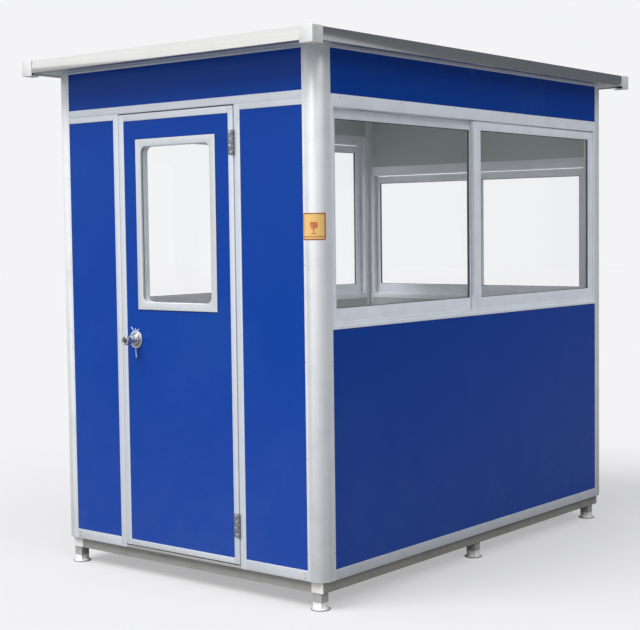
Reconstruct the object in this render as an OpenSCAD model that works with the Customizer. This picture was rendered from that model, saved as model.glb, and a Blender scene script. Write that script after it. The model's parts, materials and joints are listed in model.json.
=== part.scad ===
// Security guard booth: sandwich-panel cabin in aluminium profiles on a steel base,
// with a hinged door at -Y and sliding windows on the other three sides.
// Millimetres. Origin on the ground under the middle of the cabin, +Z up.

/* [Cabin] */
// Width of the cabin over its corner posts
body_w = 1520; // [1260:1:1900]
// Length of the cabin over its corner posts
body_l = 2320; // [1900:1:2900]
// Height of the walls, from the base beams to the roof panel
wall_h = 2108; // [1740:1:2600]
// Thickness of the wall panels
panel_t = 50; // [40:1:65]
// Depth of a panel face behind the face of its profiles
panel_setback = 2; // [1:0.5:4]

/* [Corner posts] */
// Width of each leg of a corner post
post_leg = 80; // [70:1:100]
// Radius of the rounded outer corner of a post
post_r = 50; // [40:1:70]
// Wall of the hollow aluminium post
post_wall = 3; // [2:0.5:5]
// Distance from the edge of each leg to the fine groove in its face
post_groove_inset = 12; // [6:1:25]
// Width of the groove
post_groove_w = 1.5; // [1:0.5:3]

/* [Base] */
// Height of the feet below the base beams
foot_h = 68; // [40:1:120]
// Side of the square tube of a foot
foot_w = 44; // [30:1:55]
// Wall of the foot tube
foot_wall = 4; // [3:0.5:6]
// Radius of the round sole that a foot flares out to
foot_sole_r = 39; // [30:1:60]
// Height of the flare
foot_flare_h = 28; // [15:1:35]
// Distance from the front of the base to the front feet
front_foot_inset = 0; // [0:1:120]
// Distance from the rear of the base to the rear feet
rear_foot_inset = 37; // [0:1:120]
// Height of the base beams
beam_h = 48; // [36:1:90]
// Width of the base beams along the sides and ends
beam_w = 60; // [56:1:80]
// Wall of the base beams
beam_wall = 3; // [2:0.5:5]
// Distance of the base behind the outer face of the posts
base_inset = 22; // [0:1:30]
// Thickness of the flange of a beam end cap
end_cap_t = 4; // [2:0.5:6]
// Depth of the plug of a beam end cap
end_cap_plug = 14; // [8:1:30]
// Number of cross beams under the floor
cross_beams = 3; // [1:1:5]
// Width of a cross beam
cross_beam_w = 40; // [30:1:60]
// Thickness of the floor
floor_t = 15; // [9:1:25]

/* [Front wall] */
// Height of the bottom rails
bottom_rail_h = 43; // [30:1:60]
// Height of the panel over the door
header_h = 170; // [120:1:260]
// Height of the rail over the door
head_rail_h = 32; // [25:1:50]
// Height of the trim along the top of the panels beside the door
top_trim_h = 25; // [15:1:40]
// Height of the trim along the top of all walls, under the roof
wall_trim_h = 7; // [4:1:20]
// Width of the door jambs
jamb_w = 32; // [28:1:50]
// Height of the door threshold
threshold_h = 11; // [8:1:25]
// Thickness of the door stop behind the leaf
stop_t = 7; // [4:0.5:8]
// Reach of the door stop over the edge of the leaf
stop_lap = 10; // [8:1:20]

/* [Door] */
// Width of the door leaf
door_w = 671; // [600:1:810]
// Place of the door's middle, right of the middle of the front wall
door_shift = -20; // [-60:1:60]
// Gap between the door leaf and what surrounds it
door_gap = 5; // [5:0.5:8]
// Thickness of the frame of the door leaf
leaf_t = 40; // [32:1:40]
// Width of the stiles of the door leaf
stile_w = 28; // [24:1:50]
// Height of the top rail of the door leaf
door_top_rail_h = 29; // [24:1:50]
// Height of the bottom rail of the door leaf
door_bottom_rail_h = 25; // [20:1:50]

/* [Door window] */
// Width over the trim of the door window
door_window_w = 469; // [380:1:570]
// Height over the trim of the door window
door_window_h = 733; // [500:1:900]
// Distance from the door's top rail to the trim
door_window_drop = 81; // [40:1:150]
// Width of the trim
trim_w = 32; // [20:1:50]
// Thickness of the trim on the door panel
trim_t = 4; // [2:0.5:8]
// Corner radius of the opening in the trim
trim_r = 30; // [10:1:60]
// Thickness of the trim's sleeve inside the panel
sleeve_t = 3; // [2:0.5:5]
// Distance from the middle of the door to its pane, towards the outer face
door_glass_shift = 9; // [0:1:11]

/* [Door hinges] */
// Height of a hinge
hinge_h = 98; // [75:1:130]
// Distance from the top of the leaf to the top hinge
hinge_top_drop = 100; // [60:1:300]
// Distance from the bottom of the leaf to the bottom hinge
hinge_bottom_rise = 114; // [60:1:300]
// Radius of the hinge knuckles
knuckle_r = 6; // [5:0.5:10]
// Radius of the hinge pin
pin_r = 3; // [2:0.25:4]
// Thickness of the hinge leaves
hinge_leaf_t = 2.5; // [1.5:0.5:3]
// Width of the hinge leaves
hinge_leaf_w = 26; // [20:1:28]

/* [Lock] */
// Distance from the door window's trim down to the lock
lock_drop = 133; // [90:1:300]
// Distance from the edge of the door panel to the lock
lock_inset = 53; // [42:1:80]
// Radius of the lock rose
rose_r = 37.5; // [30:0.5:40]
// Thickness of the lock rose
rose_t = 13; // [8:0.5:20]
// Radius of the door knob
knob_r = 21; // [16:0.5:28]
// Reach of the door knob from the panel
knob_reach = 69; // [50:1:90]
// Radius of the knob's spindle
spindle_r = 8; // [5:0.5:10]

/* [Windows] */
// Distance from the roof panel down to the side window frames
window_drop = 184; // [120:1:260]
// Height of the side window frames
window_h = 925; // [700:1:1100]
// Height of the rear window frame, from the same sill
rear_window_h = 750; // [600:1:900]
// Face width of a side window's frame at its sides
frame_side_w = 16; // [16:1:40]
// Depth of the pockets in the sides of that frame that take the ends of the sashes
sash_pocket = 13; // [6:1:13]
// Face width of the rear window's frame at its sides
rear_frame_side_w = 6; // [4:1:20]
// Face width of a window frame at its top
frame_top_w = 50; // [30:1:70]
// Height of the lips of a window sill
sill_lip_h = 28; // [20:1:50]
// Depth of the step in the front of the sill
sill_step = 2; // [1:0.5:3]
// Height of the tracks the sashes stand on
track_floor_h = 14; // [8:1:18]
// Thickness of the lips of a window sill
sill_lip_t = 6; // [3:0.5:8]
// Thickness of a sash
sash_t = 19; // [14:0.5:19]
// Width of the stiles of a sash in a side window
sash_stile_w = 56; // [35:1:70]
// Width of the stiles of a sash in the rear window
rear_sash_stile_w = 25; // [20:1:60]
// Height of the top rail of a sash
sash_top_h = 38; // [25:1:60]
// Height of the bottom rail of a sash above the sill lip
sash_bottom_h = 52; // [30:1:70]
// Reach of the outer sash past the middle of its window
outer_sash_lap = 44; // [35:1:60]
// Reach of the inner sash past the middle of its window
inner_sash_lap = 10; // [0:1:40]
// Thickness of the panes
glass_t = 5; // [3:0.5:8]

/* [Roof] */
// Thickness of the roof panel
roof_t = 50; // [40:1:80]
// Overhang of the roof past the side walls
side_overhang = 80; // [68:1:160]
// Overhang of the roof past the end walls
end_overhang = 125; // [68:1:200]
// Thickness of the fascia channel
fascia_t = 2; // [1:0.5:3]
// Width of the lips of the fascia channel
fascia_lip = 38; // [20:1:45]
// Length of each leg of a roof corner cap
corner_cap_leg = 62; // [40:1:64]
// Thickness of a roof corner cap
corner_cap_t = 2; // [1:0.5:3]
// Distance a corner cap hangs below the fascia
corner_cap_drop = 8; // [0:1:15]

/* [Fits] */
// Radial clearance of a shaft that turns in its hole
running_clear = 0.05; // [0.02:0.01:0.08]
// Gap between the knuckles of a hinge
knuckle_gap = 0.3; // [0.2:0.1:0.5]
// Gap around pieces that are slid into place
slide_gap = 1; // [0.5:0.5:2]

/* [Hidden] */
$fn = 48;
cut = 1; // how far a cutting tool runs past the surface it opens

half_w = body_w / 2;
half_l = body_l / 2;
profile_t = panel_t + 2 * panel_setback;
base_z = foot_h + beam_h;
wall_top_z = base_z + wall_h;
floor_top_z = base_z + floor_t;

base_half_w = half_w - base_inset;
base_half_l = half_l - base_inset;
foot_x = base_half_w - beam_w / 2;
front_foot_y = -base_half_l + front_foot_inset + foot_w / 2;
rear_foot_y = base_half_l - rear_foot_inset - foot_w / 2;

// front wall
rail_top_z = base_z + bottom_rail_h;
panel_top_z = wall_top_z - wall_trim_h;
head_rail_z = wall_top_z - header_h - head_rail_h;
trim_top_z = head_rail_z - top_trim_h;
door_x0 = door_shift - door_w / 2;
door_x1 = door_shift + door_w / 2;
door_z0 = base_z + threshold_h + door_gap;
door_z1 = head_rail_z - door_gap;
jamb_x0 = door_x0 - door_gap - jamb_w;
jamb_x1 = door_x1 + door_gap + jamb_w;
wall_in_x = half_w - post_leg;
wall_in_y = half_l - post_leg;

// door leaf, depths measured from the face of the front wall
leaf_panel_t = leaf_t - 2 * panel_setback;
door_panel_x0 = door_x0 + stile_w;
door_panel_x1 = door_x1 - stile_w;
door_panel_z0 = door_z0 + door_bottom_rail_h;
door_panel_z1 = door_z1 - door_top_rail_h;
door_window_z = door_panel_z1 - door_window_drop - door_window_h / 2;
opening_w = door_window_w - 2 * trim_w;
opening_h = door_window_h - 2 * trim_w;
sleeve_depth = (leaf_panel_t - glass_t) / 2;

hinge_x = door_x1 + door_gap / 2;
hinge_y = -half_l - knuckle_r;
hinge_zs = [door_z0 + hinge_bottom_rise, door_z1 - hinge_top_drop - hinge_h];
knuckles = 5;
knuckle_pitch = hinge_h / knuckles;
hinge_rebate = 30; // depth of the frame leaf in the side of the jamb

lock_x = door_panel_x0 + lock_inset;
lock_z = door_window_z - door_window_h / 2 - lock_drop;
lock_hole_r = spindle_r + 6;

// windows
side_window_w = body_l - 2 * post_leg;
rear_window_w = body_w - 2 * post_leg;
sill_z = wall_top_z - window_drop - window_h;
rear_window_top_z = sill_z + rear_window_h;
track_w = (profile_t - 2 * sill_lip_t - 2) / 2;
outer_sash_y = sill_lip_t + (track_w - sash_t) / 2;
inner_sash_y = profile_t - sill_lip_t - (track_w + sash_t) / 2;
sash_top_gap = 5;
glass_grip = 8; // how far a pane stands inside its sash

// roof
roof_half_w = half_w + side_overhang;
roof_half_l = half_l + end_overhang;
roof_top_z = wall_top_z + roof_t;

// ---------- shared shapes ----------

// A block between two corners
module block(low, high) {
    translate(low) cube(high - low);
}

// Puts a shape drawn for the front wall (outer face at y = 0, facing -Y) on a wall:
// 0 front, 1 right, 2 rear, 3 left
module on_wall(side) {
    rotate([0, 0, 90 * side])
        translate([0, side % 2 == 0 ? -half_l : -half_w, 0])
            children();
}

// A panel on a wall, set behind the faces of its profiles
module wall_panel(x0, x1, z0, z1) {
    block([x0, panel_setback, z0], [x1, panel_setback + panel_t, z1]);
}

// A square bar through the whole depth of a wall
module wall_bar(x0, x1, z0, z1) {
    block([x0, 0, z0], [x1, profile_t, z1]);
}

// A rectangle with round corners, its middle at the origin
module round_rect(w, h, r) {
    square([w - 2 * r, h], center = true);
    square([w, h - 2 * r], center = true);
    for (x = [-1, 1], y = [-1, 1])
        translate([x * (w / 2 - r), y * (h / 2 - r)]) circle(r);
}

// Section of a corner post, its outer corner at the origin, shrunk all round by e
module post_section(e) {
    difference() {
        translate([e, e]) square(post_leg - 2 * e);
        difference() {
            square(post_r);
            translate([post_r, post_r]) circle(post_r - e);
        }
        translate([profile_t - e, profile_t - e]) square(post_leg);
    }
}

// The grooves in the two outer faces of a post
module post_grooves() {
    at = post_leg - post_groove_inset;
    groove_depth = post_wall / 3;
    translate([at, -groove_depth]) square([post_groove_w, 2 * groove_depth]);
    translate([-groove_depth, at]) square([2 * groove_depth, post_groove_w]);
}

module corner_post(side_x, side_y) {
    mirror([side_x > 0 ? 1 : 0, 0, 0])
        mirror([0, side_y > 0 ? 1 : 0, 0])
            translate([-half_w, -half_l, base_z])
                linear_extrude(wall_h)
                    difference() {
                        post_section(0);
                        post_section(post_wall);
                        post_grooves();
                    }
}

// ---------- base ----------

module base_side_beams() {
    color("lightgray")
        for (side = [-1, 1])
            translate([side * foot_x, 0, foot_h + beam_h / 2])
                difference() {
                    cube([beam_w, 2 * (base_half_l - end_cap_t), beam_h], center = true);
                    cube([beam_w - 2 * beam_wall, body_l, beam_h - 2 * beam_wall], center = true);
                }
}

module beam_between_sides(w) {
    difference() {
        cube([2 * (base_half_w - beam_w), w, beam_h], center = true);
        cube([body_w, w - 2 * beam_wall, beam_h - 2 * beam_wall], center = true);
    }
}

module base_end_beams() {
    color("lightgray")
        for (side = [-1, 1])
            translate([0, side * (base_half_l - beam_w / 2), foot_h + beam_h / 2])
                beam_between_sides(beam_w);
}

module base_cross_beams() {
    span = 2 * (base_half_l - beam_w);
    color("lightgray")
        for (i = [1 : cross_beams])
            translate([0, -span / 2 + i * span / (cross_beams + 1), foot_h + beam_h / 2])
                beam_between_sides(cross_beam_w);
}

module beam_end_caps() {
    plug = [beam_w - 2 * beam_wall - slide_gap, end_cap_plug, beam_h - 2 * beam_wall - slide_gap];
    color("white")
        for (side = [-1, 1], end = [-1, 1])
            translate([side * foot_x, end * base_half_l, foot_h + beam_h / 2])
                scale([1, end, 1]) {
                    translate([0, -end_cap_t / 2, 0])
                        cube([beam_w, end_cap_t, beam_h], center = true);
                    translate([0, -end_cap_t - end_cap_plug / 2, 0]) cube(plug, center = true);
                }
}

// Flare of a foot, a trumpet that narrows from its sole to the tube, thinned by e
module foot_flare(e) {
    steps = 8;
    tube_r = foot_w / 2;
    rise = [
        for (i = [0 : steps])
            let (z = e + (foot_flare_h - e) * i / steps)
                [tube_r - e + (foot_sole_r - tube_r) * pow(1 - z / foot_flare_h, 2), z]];
    rotate_extrude() polygon(concat([[0, e]], rise, [[0, foot_flare_h]]));
}

module foot() {
    in_w = foot_w - 2 * foot_wall;
    difference() {
        union() {
            translate([-foot_w / 2, -foot_w / 2, 0]) cube([foot_w, foot_w, foot_h]);
            foot_flare(0);
        }
        translate([-in_w / 2, -in_w / 2, foot_wall]) cube([in_w, in_w, foot_h]);
        foot_flare(foot_wall);
    }
}

module feet() {
    color("gainsboro")
        for (side = [-1, 1], y = [front_foot_y, 0, rear_foot_y])
            translate([side * foot_x, y, 0]) foot();
}

module floor_panel() {
    color("gray")
        block([-half_w + profile_t + slide_gap, -half_l + profile_t + slide_gap, base_z],
              [half_w - profile_t - slide_gap, half_l - profile_t - slide_gap, floor_top_z]);
}

// ---------- posts ----------

module front_right_post() { color("silver") corner_post(1, -1); }
module front_left_post() { color("silver") corner_post(-1, -1); }
module rear_right_post() { color("silver") corner_post(1, 1); }
module rear_left_post() { color("silver") corner_post(-1, 1); }

// ---------- rails and front wall ----------

module bottom_rails() {
    color("silver") {
        on_wall(0) wall_bar(-wall_in_x, jamb_x0, base_z, rail_top_z);
        on_wall(0) wall_bar(jamb_x1, wall_in_x, base_z, rail_top_z);
        on_wall(1) wall_bar(-wall_in_y, wall_in_y, base_z, rail_top_z);
        on_wall(2) wall_bar(-wall_in_x, wall_in_x, base_z, rail_top_z);
        on_wall(3) wall_bar(-wall_in_y, wall_in_y, base_z, rail_top_z);
    }
}

module door_threshold() {
    color("silver")
        on_wall(0) wall_bar(jamb_x0 + jamb_w, jamb_x1 - jamb_w, base_z, base_z + threshold_h);
}

module door_jambs() {
    stop_y = profile_t - stop_t;
    color("silver")
        on_wall(0)
            difference() {
                union() {
                    wall_bar(jamb_x0, jamb_x0 + jamb_w, base_z, head_rail_z);
                    block([jamb_x0, stop_y, base_z + threshold_h],
                          [door_x0 + stop_lap, profile_t, head_rail_z]);
                    wall_bar(jamb_x1 - jamb_w, jamb_x1, base_z, head_rail_z);
                    block([door_x1 - stop_lap, stop_y, base_z + threshold_h],
                          [jamb_x1, profile_t, head_rail_z]);
                }
                for (z = hinge_zs)
                    block([jamb_x1 - jamb_w - cut, -cut, z],
                          [jamb_x1 - jamb_w + hinge_leaf_t, hinge_rebate, z + hinge_h]);
            }
}

module door_head_rail() {
    color("silver")
        on_wall(0) {
            wall_bar(-wall_in_x, wall_in_x, head_rail_z, head_rail_z + head_rail_h);
            block([door_x0 + stop_lap, profile_t - stop_t, head_rail_z - door_gap - stop_lap],
                  [door_x1 - stop_lap, profile_t, head_rail_z]);
        }
}

module panel_top_trims() {
    color("silver") {
        on_wall(0) {
            wall_bar(-wall_in_x, jamb_x0, trim_top_z, head_rail_z);
            wall_bar(jamb_x1, wall_in_x, trim_top_z, head_rail_z);
        }
        for (side = [0, 2])
            on_wall(side) wall_bar(-wall_in_x, wall_in_x, panel_top_z, wall_top_z);
        for (side = [1, 3])
            on_wall(side) wall_bar(-wall_in_y, wall_in_y, panel_top_z, wall_top_z);
    }
}

module front_upper_panel() {
    color("royalblue")
        on_wall(0) wall_panel(-wall_in_x, wall_in_x, head_rail_z + head_rail_h, panel_top_z);
}

module front_left_panel() {
    color("royalblue") on_wall(0) wall_panel(-wall_in_x, jamb_x0, rail_top_z, trim_top_z);
}

module front_right_panel() {
    color("royalblue") on_wall(0) wall_panel(jamb_x1, wall_in_x, rail_top_z, trim_top_z);
}

// ---------- side and rear walls ----------

module side_lower_panel(side) {
    color("royalblue") on_wall(side) wall_panel(-wall_in_y, wall_in_y, rail_top_z, sill_z);
}

module side_upper_panel(side) {
    color("royalblue")
        on_wall(side) wall_panel(-wall_in_y, wall_in_y, sill_z + window_h, panel_top_z);
}

module right_lower_panel() { side_lower_panel(1); }
module right_upper_panel() { side_upper_panel(1); }
module left_lower_panel() { side_lower_panel(3); }
module left_upper_panel() { side_upper_panel(3); }

module rear_lower_panel() {
    color("royalblue") on_wall(2) wall_panel(-wall_in_x, wall_in_x, rail_top_z, sill_z);
}

module rear_upper_panel() {
    color("royalblue")
        on_wall(2) wall_panel(-wall_in_x, wall_in_x, rear_window_top_z, panel_top_z);
}

// ---------- windows ----------

// Frame of a sliding window: a stepped sill with two tracks between three lips, and a
// pocket beside each track that takes the end of its sash
module window_frame(w, h, side_w, pocket) {
    in_w = w - 2 * side_w;
    head_z = h - frame_top_w;
    inner_track_y = profile_t - sill_lip_t - track_w;
    difference() {
        block([-w / 2, 0, 0], [w / 2, profile_t, h]);
        block([-in_w / 2, -cut, sill_lip_h], [in_w / 2, profile_t + cut, head_z]);
        block([-in_w / 2, -cut, track_floor_h], [in_w / 2, sill_step, sill_lip_h + cut]);
        block([-in_w / 2, sill_lip_t, track_floor_h],
              [in_w / 2 + pocket, sill_lip_t + track_w, head_z]);
        block([-in_w / 2 - pocket, inner_track_y, track_floor_h],
              [in_w / 2, inner_track_y + track_w, head_z]);
    }
}

// The pane of a sash, standing in a groove all round
module pane(x0, x1, y, h, stile_w) {
    top = h - frame_top_w - sash_top_gap;
    inset = stile_w - glass_grip;
    block([x0 + inset, y + (sash_t - glass_t) / 2, sill_lip_h + sash_bottom_h - glass_grip],
          [x1 - inset, y + (sash_t + glass_t) / 2, top - sash_top_h + glass_grip]);
}

// One sash: a ring of profiles standing in its track
module sash(x0, x1, y, h, stile_w) {
    top = h - frame_top_w - sash_top_gap;
    difference() {
        block([x0, y, track_floor_h], [x1, y + sash_t, top]);
        block([x0 + stile_w, y - cut, sill_lip_h + sash_bottom_h],
              [x1 - stile_w, y + sash_t + cut, top - sash_top_h]);
        pane(x0, x1, y, h, stile_w);
    }
}

// Where a sash ends: in its pocket, or just short of the side of the frame
function sash_end(w, side_w, pocket) = w / 2 - side_w + pocket - slide_gap;

module sash_pair(h, end, stile_w) {
    sash(-outer_sash_lap, end, outer_sash_y, h, stile_w);
    sash(-end, inner_sash_lap, inner_sash_y, h, stile_w);
}

module pane_pair(h, end, stile_w) {
    pane(-outer_sash_lap, end, outer_sash_y, h, stile_w);
    pane(-end, inner_sash_lap, inner_sash_y, h, stile_w);
}

module on_right_sill() {
    on_wall(1) translate([0, 0, sill_z]) children();
}

// The left window is the mirror image of the right one
module on_left_sill() {
    mirror([1, 0, 0]) on_right_sill() children();
}

module on_rear_sill() {
    on_wall(2) translate([0, 0, sill_z]) children();
}

module side_window_frame() {
    window_frame(side_window_w, window_h, frame_side_w, sash_pocket);
}

module side_window_sashes() {
    end = sash_end(side_window_w, frame_side_w, sash_pocket);
    sash_pair(window_h, end, sash_stile_w);
}

module side_window_glass() {
    end = sash_end(side_window_w, frame_side_w, sash_pocket);
    pane_pair(window_h, end, sash_stile_w);
}

module right_window_frame() { color("silver") on_right_sill() side_window_frame(); }
module right_window_sashes() { color("silver") on_right_sill() side_window_sashes(); }
module right_window_glass() { color("aliceblue") on_right_sill() side_window_glass(); }
module left_window_frame() { color("silver") on_left_sill() side_window_frame(); }
module left_window_sashes() { color("silver") on_left_sill() side_window_sashes(); }
module left_window_glass() { color("aliceblue") on_left_sill() side_window_glass(); }

module rear_window_frame() {
    color("silver")
        on_rear_sill() window_frame(rear_window_w, rear_window_h, rear_frame_side_w, 0);
}

module rear_window_sashes() {
    end = sash_end(rear_window_w, rear_frame_side_w, 0);
    color("silver") on_rear_sill() sash_pair(rear_window_h, end, rear_sash_stile_w);
}

module rear_window_glass() {
    end = sash_end(rear_window_w, rear_frame_side_w, 0);
    color("aliceblue")
        on_rear_sill() pane_pair(rear_window_h, end, rear_sash_stile_w);
}

// ---------- roof ----------

module roof_panel() {
    color("gainsboro")
        block([-roof_half_w + fascia_t, -roof_half_l + fascia_t, wall_top_z],
              [roof_half_w - fascia_t, roof_half_l - fascia_t, roof_top_z]);
}

// Channel folded round the edge of the roof panel, running along Y at +X
module fascia_channel(run) {
    rotate([90, 0, 0])
        linear_extrude(run, center = true)
            difference() {
                translate([-fascia_lip, -fascia_t]) square([fascia_lip, roof_t + 2 * fascia_t]);
                translate([-fascia_lip - fascia_t, 0]) square([fascia_lip, roof_t]);
            }
}

module fascia_long_sides() {
    color("silver")
        for (turn = [0, 180])
            rotate([0, 0, turn])
                translate([roof_half_w, 0, wall_top_z]) fascia_channel(2 * roof_half_l);
}

module fascia_short_sides() {
    color("silver")
        for (turn = [90, 270])
            rotate([0, 0, turn])
                translate([roof_half_l, 0, wall_top_z])
                    fascia_channel(2 * (roof_half_w - fascia_lip));
}

// Cap over a corner of the roof: two legs and the flaps above and below
module corner_cap() {
    h = roof_t + 2 * fascia_t;
    low = -corner_cap_drop;
    difference() {
        block([-corner_cap_leg, -corner_cap_leg, low - corner_cap_t],
              [corner_cap_t, corner_cap_t, h + corner_cap_t]);
        block([-corner_cap_leg - cut, -corner_cap_leg - cut, low], [0, 0, h]);
        block([-corner_cap_leg - cut, -corner_cap_leg - cut, low - corner_cap_t - cut],
              [-fascia_lip, -fascia_lip, h + corner_cap_t + cut]);
    }
}

module roof_corner_caps() {
    color("lightgray")
        for (x = [0, 1], y = [0, 1])
            mirror([x, 0, 0])
                mirror([0, y, 0])
                    translate([roof_half_w, roof_half_l, wall_top_z - fascia_t]) corner_cap();
}

// ---------- door ----------

module door_panel() {
    color("royalblue")
        on_wall(0)
            difference() {
                block([door_panel_x0, panel_setback, door_panel_z0],
                      [door_panel_x1, leaf_t - panel_setback, door_panel_z1]);
                translate([door_shift, leaf_t + cut, door_window_z])
                    rotate([90, 0, 0])
                        linear_extrude(leaf_t + 2 * cut)
                            round_rect(opening_w + 2 * sleeve_t, opening_h + 2 * sleeve_t,
                                       trim_r + sleeve_t);
                translate([lock_x, leaf_t + cut, lock_z])
                    rotate([90, 0, 0]) cylinder(r = lock_hole_r, h = leaf_t + 2 * cut);
            }
}

module door_stiles() {
    color("silver")
        on_wall(0) {
            block([door_x0, 0, door_z0], [door_panel_x0, leaf_t, door_z1]);
            block([door_panel_x1, 0, door_z0], [door_x1, leaf_t, door_z1]);
        }
}

module door_rails() {
    color("silver")
        on_wall(0) {
            block([door_panel_x0, 0, door_z0], [door_panel_x1, leaf_t, door_panel_z0]);
            block([door_panel_x0, 0, door_panel_z1], [door_panel_x1, leaf_t, door_z1]);
        }
}

// Outer half of the trim: a flange on the panel and a sleeve that holds the pane
module trim_half(depth) {
    rotate([90, 0, 0]) {
        linear_extrude(trim_t)
            difference() {
                square([door_window_w, door_window_h], center = true);
                round_rect(opening_w, opening_h, trim_r);
            }
        translate([0, 0, -depth])
            linear_extrude(depth)
                difference() {
                    round_rect(opening_w + 2 * sleeve_t, opening_h + 2 * sleeve_t,
                               trim_r + sleeve_t);
                    round_rect(opening_w, opening_h, trim_r);
                }
    }
}

module door_window_trim() {
    color("gainsboro")
        on_wall(0)
            translate([door_shift, leaf_t / 2, door_window_z])
                for (side = [0, 1])
                    mirror([0, side, 0])
                        translate([0, -leaf_panel_t / 2, 0])
                            trim_half(sleeve_depth + (2 * side - 1) * door_glass_shift);
}

module door_glass() {
    color("aliceblue")
        on_wall(0)
            translate([door_shift, (leaf_t + glass_t) / 2 - door_glass_shift, door_window_z])
                rotate([90, 0, 0])
                    linear_extrude(glass_t)
                        round_rect(opening_w + 2 * sleeve_t, opening_h + 2 * sleeve_t,
                                   trim_r + sleeve_t);
}

// Places a shape that points out of the panel on both faces of the door, at the lock
module at_lock() {
    on_wall(0)
        translate([lock_x, leaf_t / 2, lock_z])
            for (side = [0, 1])
                mirror([0, side, 0])
                    translate([0, -leaf_panel_t / 2, 0]) rotate([90, 0, 0]) children();
}

module lock_roses() {
    rim = rose_t * 0.4;
    color("silver")
        at_lock()
            difference() {
                union() {
                    cylinder(r = rose_r, h = rim);
                    translate([0, 0, rim])
                        cylinder(r1 = rose_r, r2 = knob_r, h = rose_t - rim);
                }
                translate([0, 0, -cut])
                    cylinder(r = spindle_r + running_clear, h = rose_t + 2 * cut);
            }
}

module door_knobs() {
    knob_l = 34; // length of the grip
    bevel = 3;
    color("silver")
        at_lock()
            rotate_extrude()
                polygon([
                    [0, -leaf_panel_t / 2],
                    [spindle_r, -leaf_panel_t / 2],
                    [spindle_r, rose_t + slide_gap],
                    [spindle_r + 7, rose_t + slide_gap],
                    [spindle_r + 5, knob_reach - knob_l - bevel],
                    [knob_r - bevel, knob_reach - knob_l],
                    [knob_r, knob_reach - knob_l + bevel],
                    [knob_r, knob_reach - bevel],
                    [knob_r - bevel, knob_reach],
                    [0, knob_reach]]);
}

// ---------- hinges ----------

// The knuckles of one hinge half, first = 0 for the frame and 1 for the door
module hinge_knuckles(first) {
    for (i = [first : 2 : knuckles - 1])
        translate([0, 0, i * knuckle_pitch + knuckle_gap / 2])
            cylinder(r = knuckle_r, h = knuckle_pitch - knuckle_gap);
}

// Clearance for the other half's knuckles
module knuckle_room(first) {
    for (i = [first : 2 : knuckles - 1])
        translate([0, 0, i * knuckle_pitch - knuckle_gap / 2])
            cylinder(r = knuckle_r + knuckle_gap, h = knuckle_pitch + knuckle_gap);
}

module door_hinge_leaves() {
    color("gainsboro")
        for (z = hinge_zs)
            translate([hinge_x, hinge_y, z])
                difference() {
                    union() {
                        block([-hinge_leaf_w - door_gap / 2, knuckle_r - hinge_leaf_t, 0],
                              [0, knuckle_r, hinge_h]);
                        hinge_knuckles(1);
                    }
                    knuckle_room(0);
                    translate([0, 0, -cut])
                        cylinder(r = pin_r + running_clear, h = hinge_h + 2 * cut);
                }
}

module frame_hinge_leaves() {
    head_h = 2;
    head_r = pin_r + 1.5;
    color("gainsboro")
        for (z = hinge_zs)
            translate([hinge_x, hinge_y, z]) {
                difference() {
                    union() {
                        block([door_gap / 2, 0, 0],
                              [door_gap / 2 + hinge_leaf_t, knuckle_r + hinge_rebate, hinge_h]);
                        hinge_knuckles(0);
                    }
                    knuckle_room(1);
                }
                translate([0, 0, -head_h]) cylinder(r = pin_r, h = hinge_h + 2 * head_h);
                translate([0, 0, -head_h]) cylinder(r = head_r, h = head_h + knuckle_gap);
                translate([0, 0, hinge_h - knuckle_gap]) cylinder(r = head_r, h = head_h + knuckle_gap);
            }
}

base_side_beams();
base_end_beams();
base_cross_beams();
beam_end_caps();
feet();
floor_panel();
front_right_post();
front_left_post();
rear_right_post();
rear_left_post();
bottom_rails();
door_threshold();
door_jambs();
door_head_rail();
panel_top_trims();
front_upper_panel();
front_left_panel();
front_right_panel();
right_lower_panel();
right_upper_panel();
left_lower_panel();
left_upper_panel();
rear_lower_panel();
rear_upper_panel();
right_window_frame();
left_window_frame();
rear_window_frame();
right_window_sashes();
left_window_sashes();
rear_window_sashes();
right_window_glass();
left_window_glass();
rear_window_glass();
roof_panel();
fascia_long_sides();
fascia_short_sides();
roof_corner_caps();
frame_hinge_leaves();
door_panel();
door_stiles();
door_rails();
door_window_trim();
door_glass();
lock_roses();
door_hinge_leaves();
door_knobs();
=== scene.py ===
"""Security guard booth: finishes, fixings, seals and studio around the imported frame."""

import json
import math

import bmesh
import bpy
from mathutils import Matrix, Vector


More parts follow.
